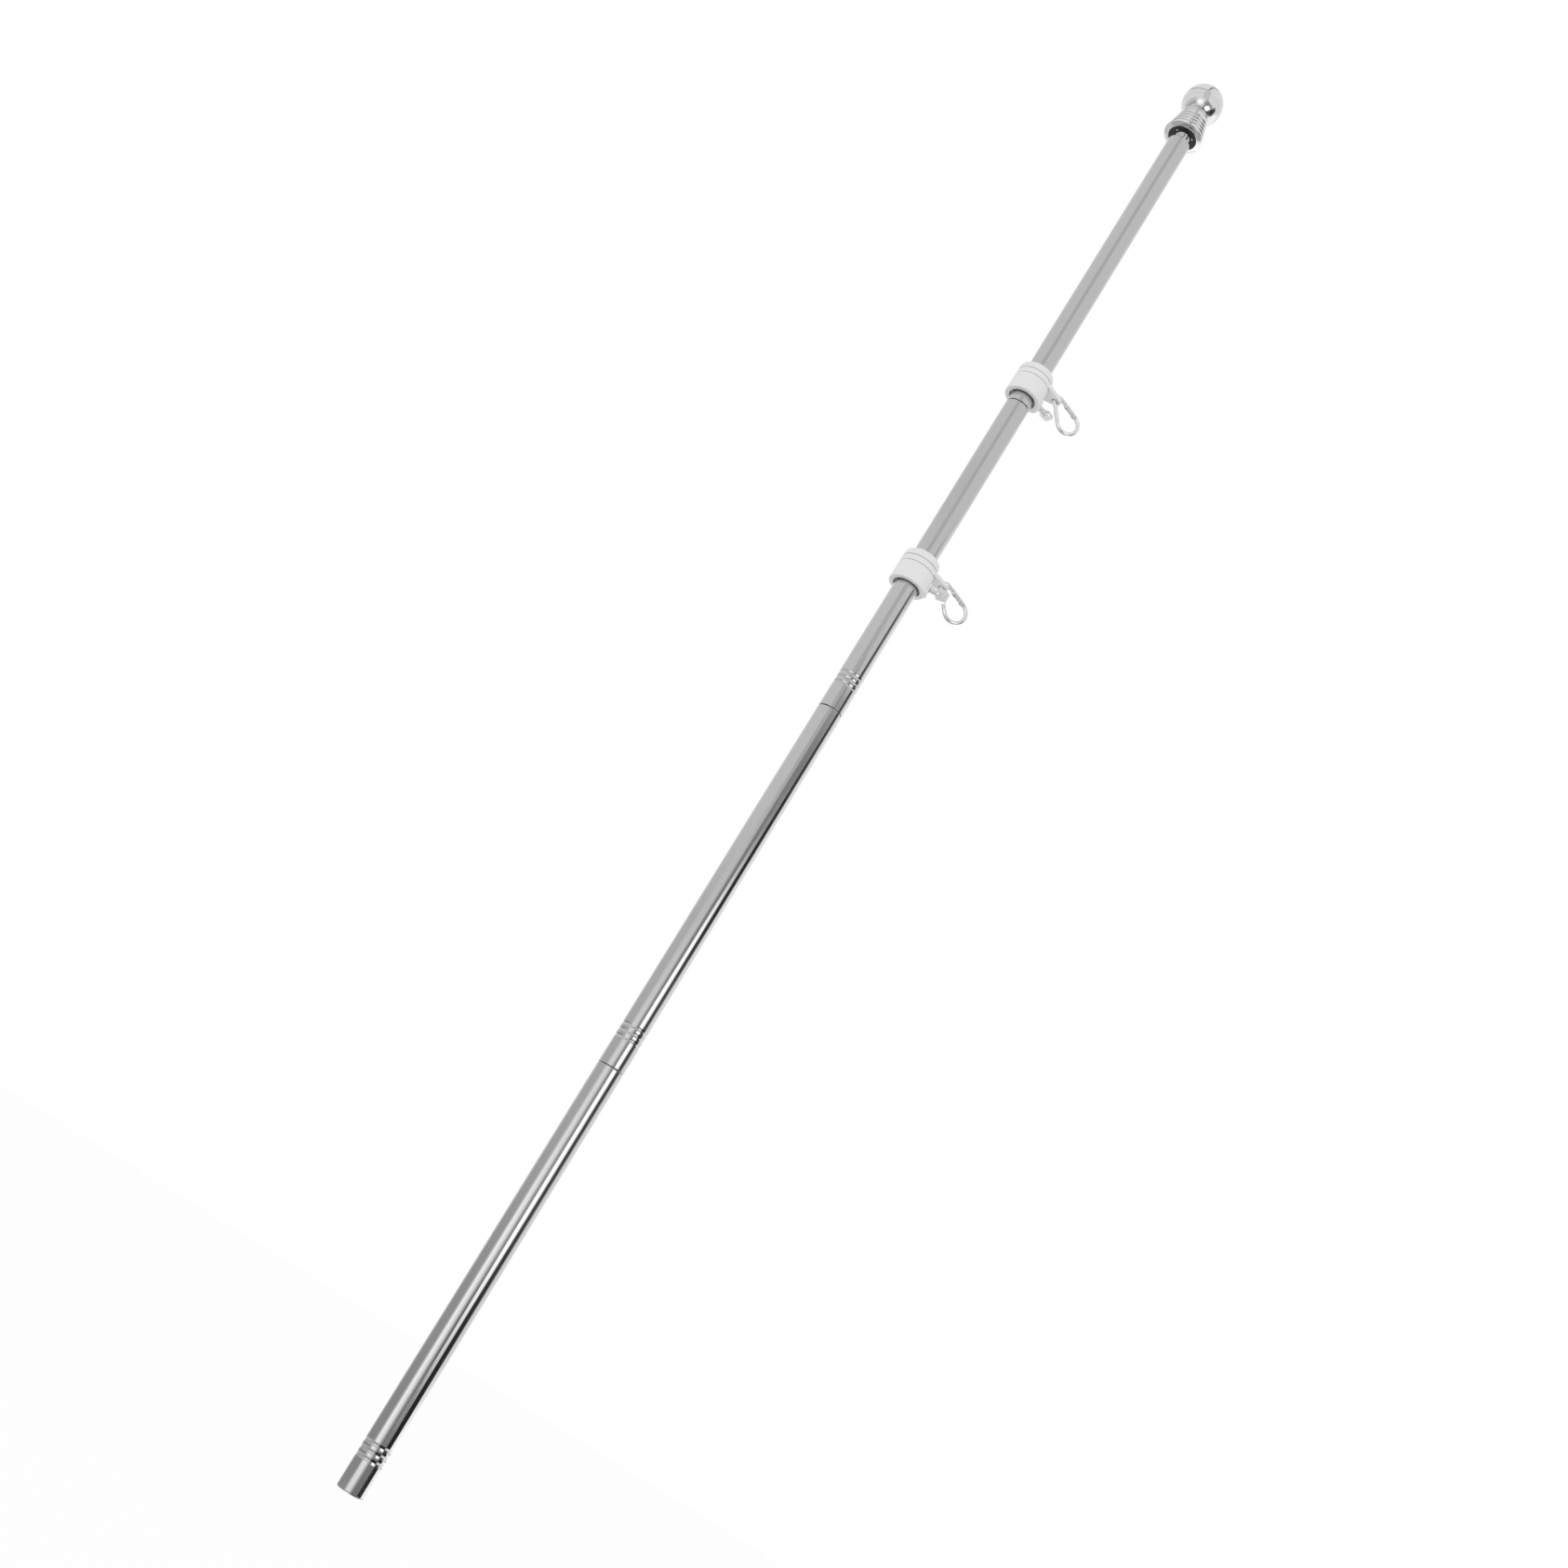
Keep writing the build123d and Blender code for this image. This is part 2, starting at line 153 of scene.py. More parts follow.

# %% [markdown]
# Two more things finish a surface. Relief bends the light with a bump far too shallow to
# model. Painted shade darkens the joint lines, where little light gets in, and the ambient
# occlusion node finds those by looking how much of the sky each place sees, which saves
# painting a mask by hand.

# %% Relief and painted shade in joint lines
JOINT_DEPTH = 0.3  # full painted shade where this share of the open sky is seen


def relief(tree, shader, *layers):
    """Bump from one or more (height, distance in metres) layers, each on top of the last."""
    normal = None
    for height, distance in layers:
        settings = {"Height": height, "Distance": distance, "Strength": 1.0}
        made = add_node(tree, "ShaderNodeBump", settings)
        if normal is not None:
            tree.links.new(normal, made.inputs["Normal"])
        normal = made.outputs["Normal"]
    tree.links.new(normal, shader.inputs["Normal"])


def corners(tree, reach, open_at=0.8):
    """Painted shade, 1 deep in a joint line and 0 where the surface sees the share open_at of the
    sky.
    """
    sky_seen = add_node(tree, "ShaderNodeAmbientOcclusion", {"Distance": reach}, samples=8)
    return spread(tree, sky_seen.outputs["AO"], JOINT_DEPTH * open_at, open_at, 1.0, 0.0)


def tell(finish):
    """Prints a finish's name and how many nodes it has."""
    print(finish.name, len(finish.node_tree.nodes), "nodes")


print("helpers ready: relief, corners, tell")

# %% [markdown]
# The tubes are thin stainless steel, drawn and then polished lengthwise on a belt. They look
# almost like mirrors, and only very fine lines along the tube, a few hand marks and one small
# scuff near the foot break the reflections. An anisotropic shader could do this, but stretched
# noise in the roughness and in a shallow bump keeps the same look when the model is used
# elsewhere. Painted shade darkens the steel where one section meets the next, which draws the
# joint as a fine dark line.

# %% Polished steel of the tubes
SCUFF_PLACE = (-0.0128, -0.0057, 0.252)
SCUFF_RADIUS = 0.0012
SCUFF_COLOUR = (0.10, 0.10, 0.10)
STEEL_SHADE = (0.05, 0.05, 0.05)

polished_steel, tree, shader = new_finish("polished_steel", Metallic=1.0)
polish_lines = noise(tree, (2600, 2600, 14), detail=4)
hand_marks = noise(tree, (38, 38, 16), detail=5, roughness=0.6)
rubbed = spread(tree, noise(tree, (9, 9, 3.5), detail=2), 0.35, 0.65, 0, 1)
steel_colour = between(tree, rubbed, (0.585, 0.585, 0.585), (0.61, 0.61, 0.61))
place = add_node(tree, "ShaderNodeTexCoord").outputs["Object"]
from_scuff = add_node(
    tree, "ShaderNodeVectorMath", {0: place, 1: SCUFF_PLACE}, operation="DISTANCE"
).outputs["Value"]
scuffed = spread(tree, from_scuff, SCUFF_RADIUS, 0.3 * SCUFF_RADIUS, 0.0, 0.8)
steel_colour = between(tree, scuffed, steel_colour, SCUFF_COLOUR)
# Painted shade: the steel is darkened where little sky is seen, at the joints between sections.
steel_colour = between(tree, corners(tree, 0.0020), steel_colour, STEEL_SHADE)
tree.links.new(steel_colour, shader.inputs["Base Color"])
line_gloss = spread(tree, polish_lines, 0.3, 0.7, 0.06, 0.12)
mark_gloss = spread(tree, hand_marks, 0.5, 0.75, 0.0, 0.08)
tree.links.new(total(tree, line_gloss, mark_gloss), shader.inputs["Roughness"])
drawn_waves = noise(tree, (30, 30, 9), detail=1)
relief(tree, shader, (drawn_waves, 0.00004), (polish_lines, 0.0000010))
tell(polished_steel)

# %% [markdown]
# The studs and the bushes that they screw into are turned from a light alloy. A lathe leaves
# rings round the work, so the noise is stretched the other way: long round the pole, short
# along it.

# %% Turned alloy of the studs and bushes
turned_alloy, tree, shader = new_finish("turned_alloy", Metallic=1.0)
tool_lines = noise(tree, (12, 12, 5200), detail=3)
cloudy = spread(tree, noise(tree, (90, 90, 90), detail=4), 0.35, 0.7, 0, 1)
alloy_colour = between(tree, cloudy, (0.78, 0.78, 0.79), (0.88, 0.88, 0.88))
tree.links.new(alloy_colour, shader.inputs["Base Color"])
tree.links.new(spread(tree, tool_lines, 0.3, 0.7, 0.14, 0.26), shader.inputs["Roughness"])
relief(tree, shader, (tool_lines, 0.000003))
tell(turned_alloy)

# %% [markdown]
# The finial is thin metal plated with bright chrome. Plating follows the slight waviness of
# the thin metal under it, so the mirror is not quite true. Low noise as a very shallow bump
# gives that, and a little dust haze in the roughness keeps it from looking like a computer's
# idea of a mirror.

# %% Chrome of the finial
CHROME_SHADE = (0.16, 0.16, 0.16)

plated_chrome, tree, shader = new_finish("plated_chrome", Metallic=1.0)
haze = noise(tree, (60, 60, 60), detail=5, roughness=0.65)
wipe_marks = noise(tree, (420, 420, 60), detail=3)
hazy = spread(tree, haze, 0.35, 0.7, 0, 1)
chrome_colour = between(tree, hazy, (0.81, 0.81, 0.812), (0.775, 0.775, 0.78))
# Painted shade: the chrome is darkened in its coves and joints, where little sky is seen.
chrome_colour = between(tree, corners(tree, 0.0016), chrome_colour, CHROME_SHADE)
tree.links.new(chrome_colour, shader.inputs["Base Color"])
haze_gloss = spread(tree, haze, 0.45, 0.8, 0.02, 0.07)
wipe_gloss = spread(tree, wipe_marks, 0.5, 0.8, 0.0, 0.03)
tree.links.new(total(tree, haze_gloss, wipe_gloss), shader.inputs["Roughness"])
pressed_waves = noise(tree, (75, 75, 75), detail=1)
relief(tree, shader, (pressed_waves, 0.00005))
tell(plated_chrome)

# %% [markdown]
# The hooks, their gates and the thumb screws are plated with bright nickel. It is warmer and
# softer than chrome, and handling polishes the edges brighter. The bevel node gives a rounded
# normal, and where that differs from the real one there is an edge. Painted shade darkens the
# corners and the valleys between the ribs.

# %% Nickel of the hooks and screws
NICKEL_SHADE = (0.16, 0.16, 0.155)


def edges(tree, radius):
    """1 near a sharp edge and 0 on open surface."""
    rounded = add_node(tree, "ShaderNodeBevel", {"Radius": radius}, samples=4)
    flat = add_node(tree, "ShaderNodeNewGeometry")
    same = add_node(tree, "ShaderNodeVectorMath", operation="DOT_PRODUCT")
    tree.links.new(rounded.outputs["Normal"], same.inputs[0])
    tree.links.new(flat.outputs["Normal"], same.inputs[1])
    return spread(tree, same.outputs["Value"], 1.0, 0.8, 0.0, 1.0)


bright_nickel, tree, shader = new_finish("bright_nickel", Metallic=1.0)
rubbed_edge = edges(tree, 0.0006)
stain = spread(tree, noise(tree, (240, 240, 240), detail=5, roughness=0.6), 0.3, 0.7, 0, 1)
nickel_colour = between(tree, stain, (0.89, 0.89, 0.885), (0.95, 0.95, 0.945))
nickel_colour = between(tree, rubbed_edge, nickel_colour, (0.98, 0.98, 0.975))
# Painted shade: the nickel is darkened in corners and between the ribs, where little sky is seen.
nickel_colour = between(tree, corners(tree, 0.0014, 0.82), nickel_colour, NICKEL_SHADE)
tree.links.new(nickel_colour, shader.inputs["Base Color"])
tumbled = noise(tree, (1500, 1500, 1500), detail=3)
open_gloss = spread(tree, tumbled, 0.3, 0.7, 0.16, 0.24)
edge_gloss = spread(tree, rubbed_edge, 0, 1, 0.0, -0.08)
tree.links.new(total(tree, open_gloss, edge_gloss), shader.inputs["Roughness"])
relief(tree, shader, (tumbled, 0.000003))
tell(bright_nickel)

# %% [markdown]
# The rings are moulded in white plastic with a half-gloss skin. A mould gives plastic a faint
# texture that is all one size, and slow cooling leaves shallow hollows, both far too fine to
# see except as a softness in the highlights. The joint lines, where one part meets the next,
# are darkened by dirt and by painted shade.

# %% White plastic of the rings
PLASTIC_DIRT_AND_SHADE = (0.26, 0.26, 0.255)

white_plastic, tree, shader = new_finish("white_plastic", IOR=1.46)
skin = noise(tree, (1900, 1900, 1900), detail=2)
hollows = noise(tree, (70, 70, 70), detail=1)
yellowing = spread(tree, noise(tree, (45, 45, 45), detail=3), 0.3, 0.7, 0, 1)
clean = between(tree, yellowing, (0.815, 0.815, 0.815), (0.83, 0.83, 0.827))
# Dirt and painted shade darken the plastic where little sky is seen, in the joint lines.
soiled_and_shaded = between(tree, corners(tree, 0.0012), clean, PLASTIC_DIRT_AND_SHADE)
tree.links.new(soiled_and_shaded, shader.inputs["Base Color"])
tree.links.new(spread(tree, skin, 0.3, 0.7, 0.28, 0.36), shader.inputs["Roughness"])
relief(tree, shader, (hollows, 0.00003), (skin, 0.0000008))
tell(white_plastic)

# %% [markdown]
# The finial screws on with a black nylon socket. Nylon is moulded with a matt, slightly
# mottled skin, and the shallow marks of the mould show as rings. The skin is even noise and
# the rings are noise stretched round the socket. Both are bump, being too shallow to model.

# %% Black nylon of the finial's socket
black_nylon, tree, shader = new_finish("black_nylon", IOR=1.52)
mottle = noise(tree, (700, 700, 700), detail=4)
mould_rings = noise(tree, (6, 6, 1500), detail=2)
mottled = spread(tree, mottle, 0.3, 0.7, 0, 1)
nylon_colour = between(tree, mottled, (0.008, 0.008, 0.009), (0.02, 0.02, 0.02))
tree.links.new(nylon_colour, shader.inputs["Base Color"])
tree.links.new(spread(tree, mottle, 0.3, 0.7, 0.42, 0.58), shader.inputs["Roughness"])
relief(tree, shader, (mottle, 0.000015), (mould_rings, 0.000008))
tell(black_nylon)

# %% [markdown]
# Each CAD piece takes one of these finishes by its name. A table of name endings is enough,
# and a piece that it missed would be printed, so nothing is left bare.

# %% Give the CAD pieces their finishes
FINISHES = {
    "_tube": polished_steel,
    "_stud": turned_alloy,
    "_insert": turned_alloy,
    "foot_plug": turned_alloy,
    "finial_base": plated_chrome,
    "finial_ball": plated_chrome,
    "finial_socket": black_nylon,
    "_collar": white_plastic,
    "_swivel_ring": white_plastic,
    "_cap": white_plastic,
    "_thumb_screw": bright_nickel,
    "_hook": bright_nickel,
    "_hook_gate": bright_nickel,
    "_gate_pin": bright_nickel,
}


def dress(piece, finish):
    """Replaces whatever materials a piece has by one finish."""
    piece.data.materials.clear()
    piece.data.materials.append(finish)


for name, node in frame["nodes"].items():
    found = [finish for ending, finish in FINISHES.items() if name.endswith(ending)]
    if found:
        dress(node, found[0])
    else:
        print("no finish for", name)
print(len(frame["nodes"]), "CAD pieces dressed")

# %% [markdown]
# A mirror shows every flat of a coarse mesh, so the polished pieces are made again as fine
# turned shapes. A turned shape starts as an outline, a list of (radius, height) in millimetres,
# as a turner would draw it. Round parts of the outline are arcs, and each shape also needs a
# place to stand and a way to point.

# %% Outlines and places
def arc(centre_radius, centre_height, radius, first, last, steps):
    """Points round part of a circle, for an outline; angles in degrees, 0 pointing outwards."""
    angles = [radians(first + (last - first) * n / steps) for n in range(steps + 1)]
    return [(centre_radius + radius * cos(a), centre_height + radius * sin(a)) for a in angles]


def stand(foot, axis=(0, 0, 1)):
    """The place of a turned piece: its foot's centre in metres, and the way its axis points."""
    turn = Vector(axis).to_track_quat("Z", "X").to_matrix().to_4x4()
    return Matrix.Translation(foot) @ turn @ Matrix.Scale(MM, 4)


quarter = arc(0, 0, 1, 0, 90, 2)
print("a quarter circle in two steps:", [(round(r, 2), round(h, 2)) for r, h in quarter])

# %% [markdown]
# Blender's Spin or Screw modifier would turn an outline round an axis. Here the rings of points
# are written out in a helper instead, because the same few lines can then cut a screw thread
# into the outline and stand the piece along any axis. A closed outline makes a watertight
# solid.

# %% Turn an outline
COLUMNS = 96


def turned(mesh, outline, place, columns=COLUMNS, cut=None):
    """Adds an outline turned round its axis to a mesh. Points at radius 0 close it; otherwise
    the last point joins the first. cut(angle, height) may take depth off the radius."""
    rows = []
    for radius, height in outline:
        if radius == 0:
            rows.append([mesh.verts.new(place @ Vector((0, 0, height)))] * columns)
            continue
        row = []
        for c in range(columns):
            angle = 2 * pi * c / columns
            r = radius - (cut(angle, height) if cut else 0)
            row.append(mesh.verts.new(place @ Vector((r * cos(angle), r * sin(angle), height))))
        rows.append(row)
    closed = outline[0][0] != 0 and outline[-1][0] != 0
    for below, above in zip(rows, rows[1:] + rows[:1] if closed else rows[1:]):
        for c in range(columns):
            d = (c + 1) % columns
            mesh.faces.new(list(dict.fromkeys((below[c], below[d], above[d], above[c]))))


print("turned shapes have", COLUMNS, "columns unless told otherwise")

# %% [markdown]
# Each new piece then needs the same few things: a smooth look that keeps its real edges sharp,
# a finish, the body that it moves with, and the CAD piece that it stands for. One helper does
# them all, so none is forgotten.

# %% Finish a new piece
SMOOTH_UP_TO = radians(32)  # a steeper fold between two faces stays a sharp edge


def finished(name, mesh, finish, slot, body, *replaced):
    """Makes the mesh a smooth-shaded piece with a finish, riding on a body of the frame."""
    bmesh.ops.recalc_face_normals(mesh, faces=mesh.faces)
    data = bpy.data.meshes.new(name)
    mesh.to_mesh(data)
    mesh.free()
    data.shade_smooth()
    data.set_sharp_from_angle(angle=SMOOTH_UP_TO)
    piece = bpy.data.objects.new(name, data)
    bpy.context.scene.collection.objects.link(piece)
    dress(piece, finish)
    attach(piece, body)
    if replaced:
        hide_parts(*replaced)
    print(name, len(data.polygons), "faces")


print("edges sharper than", round(degrees(SMOOTH_UP_TO)), "degrees stay sharp")

# %% [markdown]
# The bush inside each tube is held by three grooves, rolled into the wall near its lower end.
# Cutting them with a boolean would leave hard edges, which rolling doesn't. So each groove is a
# shallow dent along a cosine, whose sides fade smoothly into the tube. Extra points beside each
# curve keep the long straight wall from bending the reflections.

# %% Grooved wall of a tube
LIP = 0.7
LIP_GAP = 0.4  # each end stops this far short of the joint
GROOVES = 3
GROOVE_FIRST = 31.5
GROOVE_PITCH = 6.8
GROOVE_WIDTH = 4.8
GROOVE_DEPTH = 0.5
GROOVE_STEPS = 14
BESIDE = 0.3  # how far the extra points stand from a curve


def tube_wall(radius, length):
    """The wall's grooved side at one radius, from its lower end up."""
    side = []
    for n in range(GROOVES):
        middle = GROOVE_FIRST + n * GROOVE_PITCH
        for step in range(GROOVE_STEPS + 1):
            across = step / GROOVE_STEPS - 0.5
            dent = GROOVE_DEPTH * (1 + cos(2 * pi * across)) / 2
            side.append((radius - dent, middle + across * GROOVE_WIDTH))
    start, end = side[0][1], side[-1][1]
    lower = [(radius, LIP + LIP_GAP + BESIDE), (radius, start - BESIDE)]
    upper = [(radius, end + BESIDE), (radius, length - LIP - LIP_GAP - BESIDE)]
    return lower + side + upper


print(GROOVES, "grooves,", GROOVE_DEPTH, "mm deep")

# %% [markdown]
# Each tube is drawn thin-walled, cut to length, and its ends are rolled over so they don't
# scratch. The outline follows that: a rounded lip, the grooved wall and another lip, then back
# down the inside. Radius and length are read from the CAD tube that it stands for.

# %% Polished tubes
TUBE_WALL = 0.8
LIP_STEPS = 5

for section in SECTIONS:
    low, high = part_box(section + "_tube")
    radius = (high.x - low.x) / 2 / MM
    length = (high.z - low.z) / MM
    outline = arc(radius - LIP, LIP + LIP_GAP, LIP, -90, 0, LIP_STEPS)
    outline += tube_wall(radius, length)
    outline += arc(radius - LIP, length - LIP - LIP_GAP, LIP, 0, 90, LIP_STEPS)
    outline += [(radius - TUBE_WALL, length - LIP_GAP)]
    outline += reversed(tube_wall(radius - TUBE_WALL, length))
    outline += [(radius - TUBE_WALL, LIP_GAP)]
    mesh = bmesh.new()
    turned(mesh, outline, stand((0, 0, low.z)))
    tube = section + "_tube"
    finished(section + "_polished_tube", mesh, polished_steel, "pole_steel", "pole", tube)

# %% [markdown]
# A thread could be modelled as a long coil, but a turned rod whose surface rises and falls once
# per turn gives the same look and stays one clean solid: the cut is deepest half way between
# two crests, and each crest climbs one pitch per turn. It fades out at both ends, as a thread
# does where the tool is drawn off.

# %% Screw threads
THREAD_ROWS = 14  # rows of points in one pitch
ROOT_FLAT = 1.25  # over 1, the valley's bottom is flat


def thread(pitch, depth, foot, top):
    """A cut for turned(): a V thread that fades out at both ends."""
    def cut(angle, height):
        phase = (height / pitch - angle / (2 * pi)) % 1.0
        valley = 1 - abs(2 * phase - 1)
        fade = min(1.0, max(0.0, min(height - foot, top - height) / pitch * 2))
        return depth * fade * min(1.0, ROOT_FLAT * valley)
    return cut


def rod(radius, foot, top, pitch, chamfer):
    """A straight run with enough rows to carry a thread, and a chamfer at its top."""
    rows = int((top - chamfer - foot) / pitch * THREAD_ROWS)
    run = [(radius, foot + (top - chamfer - foot) * n / rows) for n in range(rows + 1)]
    return run + [(radius - chamfer, top)]


print("a thread has", THREAD_ROWS, "rows of points in each turn")

# %% [markdown]
# A screwed stud stands out of the top of each section. Only the top one shows, under the
# finial, but all four are cut alike, because a part that is unscrewed later shows the others.
# Below the thread is the plug that is pressed into the tube.

# %% Threaded studs
STUD_PITCH = 2.5
STUD_DEPTH = 1.1
STUD_SHAFT = 28.0
STUD_CHAMFER = 1.5
STUD_COLUMNS = 72
SHAFT_RADIUS = 9.2
PLUG_FOOT = 0.5  # chamfers of the plug
PLUG_SHOULDER = 0.4

for section in SECTIONS:
    low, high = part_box(section + "_stud")
    plug_radius = (high.x - low.x) / 2 / MM
    height = (high.z - low.z) / MM
    shaft_foot = height - STUD_SHAFT
    outline = [(0, 0), (plug_radius - PLUG_FOOT, 0), (plug_radius, PLUG_FOOT)]
    outline += [(plug_radius, shaft_foot - PLUG_SHOULDER)]
    outline += [(plug_radius - PLUG_SHOULDER, shaft_foot)]
    outline += rod(SHAFT_RADIUS, shaft_foot, height, STUD_PITCH, STUD_CHAMFER) + [(0, height)]
    cut = thread(STUD_PITCH, STUD_DEPTH, shaft_foot, height - STUD_CHAMFER)
    mesh = bmesh.new()
    turned(mesh, outline, stand((0, 0, low.z)), columns=STUD_COLUMNS, cut=cut)
    stud = section + "_stud"
    finished(section + "_threaded_stud", mesh, turned_alloy, "thread_alloy", "pole", stud)

# %% [markdown]
# The finial is measured first: its foot, its rim, its ball and the socket that its neck has to
# clear all come from the CAD pieces. The numbers could be typed in again, but a number that is
# read can't disagree with the frame.

# %% Measure the finial
BALL_HEIGHT = 59.0  # the ball's centre above the finial's foot

rim_low, rim_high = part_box("finial_base")
ball_low, ball_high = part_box("finial_ball")
socket_low, socket_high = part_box("finial_socket")
finial_foot = rim_low.z
rim_radius = (rim_high.x - rim_low.x) / 2 / MM
ball_radius = (ball_high.x - ball_low.x) / 2 / MM
socket_radius = (socket_high.x - socket_low.x) / 2 / MM
socket_top = (socket_high.z - finial_foot) / MM
print("rim", round(rim_radius, 2), "ball", round(ball_radius, 2), "socket", round(socket_radius, 2))

# %% [markdown]
# The finial's neck is spun metal: a wide rim and four rounded beads, each a little smaller than
# the one below, with a cove between them. The beads matter more than their size suggests,
# because each one squeezes the whole studio into a thin bright and dark line. Each bead could
# be a torus pushed over a plain neck, but as arcs of one outline they keep the neck a single
# closed skin.

# %% Rim and beads of the neck
RIM_SLOPE = 1.1  # how much higher the rim is outside than at the socket
RIM_ROUND = 1.2
RIM_ARC = 80  # degrees above and below level
RIM_GAP = 0.7  # from the socket to the start of the rim's slope
BEAD_HEIGHTS = (9.5, 15.5, 21.5, 27.5)
BEAD_RADII = (23.2, 21.8, 20.4, 19.1)
BEAD = 1.5
BEAD_ARC = 62
COVE = 0.65  # how far the neck draws in between two beads
COVE_REACH = 0.4  # a cove's points stand this far above and below a bead
COVE_TAPER = 0.3  # and are this much nearer the axis above it than below it

outline = [(socket_radius + RIM_GAP, 0)]
outline += arc(rim_radius - RIM_ROUND, RIM_SLOPE + RIM_ROUND, RIM_ROUND, -RIM_ARC, RIM_ARC, 12)
for height, radius in zip(BEAD_HEIGHTS, BEAD_RADII):
    outline.append((radius - COVE, height - BEAD - COVE_REACH))
    outline += arc(radius - BEAD, height, BEAD, -BEAD_ARC, BEAD_ARC, 10)
    outline.append((radius - COVE - COVE_TAPER, height + BEAD + COVE_REACH))
print(len(BEAD_HEIGHTS), "beads,", len(outline), "points so far")

# %% [markdown]
# Above the beads the neck narrows in a soft S, half a wave of a cosine, to the seam with the
# ball. The seam's height isn't typed in: it is where the neck's radius meets the ball. Inside,
# the outline comes down the wall and round the socket, so the neck is hollow as spun metal is.

# %% Chrome neck
NECK_RADIUS = 18.2
THROAT_RADIUS = 16.2  # where the neck meets the ball
THROAT_WALL = 1.8
THROAT_LENGTH = 8.0  # the height of the soft S
THROAT_STEPS = 8
SEAM_LIP = 0.3
SEAM_RISE = 0.2
SEAT = 0.05

seam_height = BALL_HEIGHT - sqrt(ball_radius**2 - THROAT_RADIUS**2)
for step in range(THROAT_STEPS + 1):
    rise = step / THROAT_STEPS
    radius = THROAT_RADIUS + (NECK_RADIUS - THROAT_RADIUS) * (1 + cos(pi * rise)) / 2
    outline.append((radius, seam_height - THROAT_LENGTH + (THROAT_LENGTH - SEAM_RISE) * rise))
outline += [(THROAT_RADIUS - SEAM_LIP, seam_height), (THROAT_RADIUS - THROAT_WALL, seam_height)]
outline += [(THROAT_RADIUS - THROAT_WALL, socket_top + SEAT)]
outline += [(socket_radius + SEAT, socket_top + SEAT), (socket_radius + SEAT, 0)]
mesh = bmesh.new()
turned(mesh, outline, stand((0, 0, finial_foot)))
finished("finial_chrome_neck", mesh, plated_chrome, "finial_chrome", "pole", "finial_base")

# %% [markdown]
# The ball above is a hollow shell, open below where the neck enters it. A UV sphere is the
# quick way, but it has no mouth and no wall. The turned outline goes down the outside, round
# the mouth and back up the inside.

# %% Chrome ball
BALL_WALL = 1.6
BALL_MOUTH = 13.0
BALL_COLUMNS = 128
NEARLY_UP = 89.9  # degrees; each arc's last point gives way to one on the axis

mouth = degrees(acos(BALL_MOUTH / ball_radius))
inner_radius = ball_radius - BALL_WALL
inner_mouth = degrees(acos(BALL_MOUTH / inner_radius))
outside = arc(0, BALL_HEIGHT, ball_radius, -mouth, NEARLY_UP, 72)[:-1]
outline = [(0, BALL_HEIGHT + ball_radius)] + list(reversed(outside))
outline += arc(0, BALL_HEIGHT, inner_radius, -inner_mouth, NEARLY_UP, 48)[:-1]
outline += [(0, BALL_HEIGHT + inner_radius)]
mesh = bmesh.new()
turned(mesh, outline, stand((0, 0, finial_foot)), columns=BALL_COLUMNS)
finished("finial_chrome_ball", mesh, plated_chrome, "finial_chrome", "pole", "finial_ball")

# %% [markdown]
# The socket's black face shows from below, and three small screws hold it in the neck. They
# are a few millimetres wide, so a domed head with a softly rounded edge is enough: at this
# size only its glint is seen.

# %% Small screws in the socket's face
SMALL_SCREWS = 3
SMALL_SCREW_FIRST = 63.0  # degrees round the pole, to the right from its front
SMALL_SCREW_CIRCLE = 12.2
SMALL_HEAD_RADIUS = 1.1
SMALL_HEAD_HEIGHT = 0.6
SMALL_HEAD_EDGE = 0.1
SMALL_SUNK = 1.0  # how far the screw goes into the socket
SMALL_DOME = ((0, 1), (0.45, 0.92), (0.8, 0.6))  # shares of the head's radius and height

dome = [(SMALL_HEAD_RADIUS * r, SMALL_HEAD_HEIGHT * h) for r, h in SMALL_DOME]
dome += [(SMALL_HEAD_RADIUS, SMALL_HEAD_EDGE), (SMALL_HEAD_RADIUS, -SMALL_SUNK), (0, -SMALL_SUNK)]
mesh = bmesh.new()
for n in range(SMALL_SCREWS):
    angle = radians(SMALL_SCREW_FIRST + n * 360 / SMALL_SCREWS)
    centre = Vector((sin(angle), -cos(angle), 0)) * SMALL_SCREW_CIRCLE * MM
    centre.z = socket_low.z
    turned(mesh, dome, stand(centre, (0, 0, -1)), columns=24)
finished("socket_screws", mesh, bright_nickel, "hook_nickel", "pole")

# %% [markdown]
# A thumb screw's shank is threaded where it leaves the collar. The flat head comes from the
# CAD and needs no more than its finish. The thread is a thin sleeve round the shank, made with
# the same cut as the studs, from the collar's boss to the head. The screw's own joint says
# where its axis is and which way it points.

# %% Threads of the thumb screws
SHANK_RADIUS = 3.0
SHANK_PITCH = 1.25
SHANK_CREST = 0.35
SHANK_SUNK = 0.4  # how far the sleeve's inside lies under the shank's surface
SHANK_CHAMFER = 0.3
SHANK_FROM = 21.0  # from the pole's axis
SHANK_TO = 31.4
ROOT_SUNK = 0.1  # the thread's valleys go this far into the shank

length = SHANK_TO - SHANK_FROM
inside = SHANK_RADIUS - SHANK_SUNK
outline = [(inside, 0)] + rod(SHANK_RADIUS + SHANK_CREST, 0, length, SHANK_PITCH, SHANK_CHAMFER)
outline += [(inside, length)]
cut = thread(SHANK_PITCH, SHANK_CREST + ROOT_SUNK, 0, length - SHANK_CHAMFER)
for ring in RINGS:
    joint = joints[ring + "_screw_turn"]
    axis = Vector(joint["axis"])
    foot = Vector((0, 0, joint["pos_m"][2])) + axis * SHANK_FROM * MM
    mesh = bmesh.new()
    turned(mesh, outline, stand(foot, axis), columns=40, cut=cut)
    finished(ring + "_screw_thread", mesh, bright_nickel, "hook_nickel", ring + "_screw")

